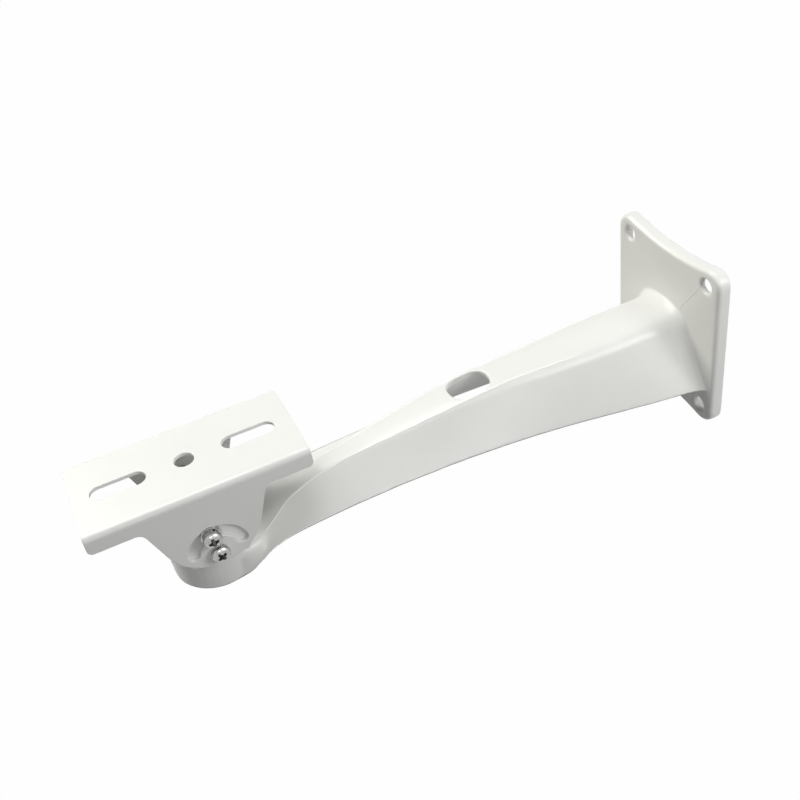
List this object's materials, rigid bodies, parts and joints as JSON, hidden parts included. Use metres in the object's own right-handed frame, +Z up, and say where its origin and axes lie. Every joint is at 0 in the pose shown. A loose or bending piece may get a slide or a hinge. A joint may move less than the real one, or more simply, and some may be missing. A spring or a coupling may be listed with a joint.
{
  "type": "camera wall bracket",
  "caption": "Camera wall bracket: square wall plate, tapered hollow cast arm, and a slotted saddle that pans on the arm's round pad and tilts between two cheeks.",
  "frame": {"origin": "centre of the wall plate, in the plane where its rim stands on the wall", "axes": "+Y into the wall, so the arm reaches towards -Y; +Z up, the way the camera stands on the saddle; +X to the side, the bracket's right seen from the wall"},
  "size_m": [0.0804, 0.306, 0.0886],
  "materials": {
    "cast_coat": "glossy white powder coat over a cast arm",
    "sheet_coat": "glossy white powder coat over folded steel sheet",
    "zinc_steel": "bright zinc plate"
  },
  "bodies": {
    "arm": {"cast_arm": "cast_coat"},
    "head": {"swivel_yoke": "sheet_coat", "pan_bolt": "zinc_steel", "pan_flat_washer": "zinc_steel", "pan_spring_washer": "zinc_steel", "pan_nut": "zinc_steel", "pivot_screw_left": "zinc_steel", "pivot_spring_washer_left": "zinc_steel", "pivot_nut_left": "zinc_steel", "lock_screw_left": "zinc_steel", "lock_spring_washer_left": "zinc_steel", "lock_nut_left": "zinc_steel", "lock_flat_washer_left": "zinc_steel", "pivot_screw_right": "zinc_steel", "pivot_spring_washer_right": "zinc_steel", "pivot_nut_right": "zinc_steel", "lock_screw_right": "zinc_steel", "lock_spring_washer_right": "zinc_steel", "lock_nut_right": "zinc_steel", "lock_flat_washer_right": "zinc_steel"},
    "saddle": {"camera_saddle": "sheet_coat"}
  },
  "joints": [
    {"name": "head_pan", "type": "hinge", "parent": "arm", "child": "head", "pos_m": [0, -0.256, -0.015], "axis": [0, 0, 1], "range_deg": [-45, 45]},
    {"name": "head_tilt", "type": "hinge", "parent": "head", "child": "saddle", "pos_m": [0, -0.256, -0.0058], "axis": [1, 0, 0], "range_deg": [-20, 60]}
  ]
}
